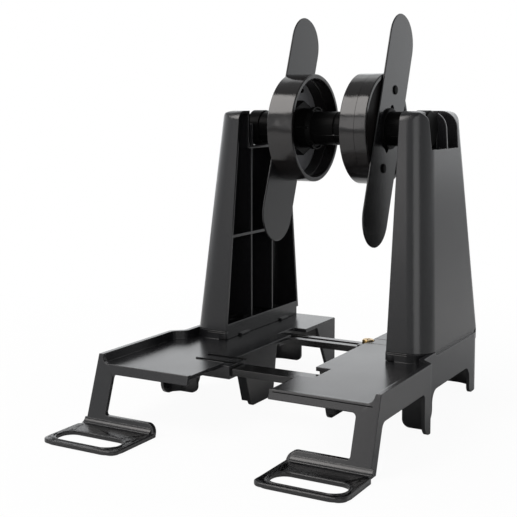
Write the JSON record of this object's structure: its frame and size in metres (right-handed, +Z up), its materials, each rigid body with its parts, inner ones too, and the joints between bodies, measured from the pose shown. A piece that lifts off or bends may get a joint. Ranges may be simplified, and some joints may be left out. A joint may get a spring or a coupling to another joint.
{
  "type": "label roll holder",
  "caption": "Free-standing holder for a roll of labels: two half stands with towers slide apart on rails and carry a round spindle with sliding core hubs and long guide arms.",
  "frame": {"origin": "centre of the footprint on the surface that the holder stands on", "axes": "+X from the left half stand to the right half stand along the spindle, +Y from the foot plates towards the towers, +Z up"},
  "size_m": [0.1968, 0.2542, 0.261],
  "materials": {
    "shell_plastic": "satin black moulded plastic",
    "rail_plastic": "smooth black plastic",
    "spindle_plastic": "glossy black plastic",
    "hub_plastic": "glossy black plastic",
    "ring_plastic": "dull black plastic",
    "arm_plastic": "satin black plastic",
    "screw_steel": "blackened steel",
    "clamp_brass": "plain brass"
  },
  "bodies": {
    "left_stand": {"left_base": "shell_plastic", "left_tower": "shell_plastic", "left_tower_screws": "screw_steel", "rear_rail": "rail_plastic", "rear_rail_screw": "screw_steel"},
    "right_stand": {"right_base": "shell_plastic", "right_tower": "shell_plastic", "right_tower_screws": "screw_steel", "front_rail": "rail_plastic", "front_rail_screw": "screw_steel", "rail_clamp_nut": "clamp_brass"},
    "spindle": {"spindle_tube": "spindle_plastic", "left_spindle_journal": "spindle_plastic", "right_spindle_journal": "spindle_plastic"},
    "left_hub": {"left_hub_drum": "hub_plastic", "left_hub_sleeve": "hub_plastic", "left_hub_lock_ring": "ring_plastic", "left_guide_arm": "arm_plastic", "left_arm_screws": "screw_steel"},
    "right_hub": {"right_hub_drum": "hub_plastic", "right_hub_sleeve": "hub_plastic", "right_hub_lock_ring": "ring_plastic", "right_guide_arm": "arm_plastic", "right_arm_screws": "screw_steel"},
    "clamp_screw": {"rail_clamp_screw": "clamp_brass"}
  },
  "joints": [
    {"name": "stand_width_slide", "type": "slide", "parent": "left_stand", "child": "right_stand", "axis": [1, 0, 0], "range_m": [-0.004, 0.005]},
    {"name": "spindle_spin", "type": "hinge", "parent": "left_stand", "child": "spindle", "pos_m": [0, 0.0731, 0.1823], "axis": [1, 0, 0], "continuous": true},
    {"name": "left_hub_slide", "type": "slide", "parent": "spindle", "child": "left_hub", "axis": [1, 0, 0], "range_m": [-0.0045, 0.015]},
    {"name": "right_hub_slide", "type": "slide", "parent": "spindle", "child": "right_hub", "axis": [1, 0, 0], "range_m": [-0.015, 0.0045]},
    {"name": "clamp_screw_turn", "type": "hinge", "parent": "right_stand", "child": "clamp_screw", "pos_m": [0.0263, 0.0669, 0.0355], "axis": [0, 0, 1], "range_deg": [0, 180]}
  ]
}
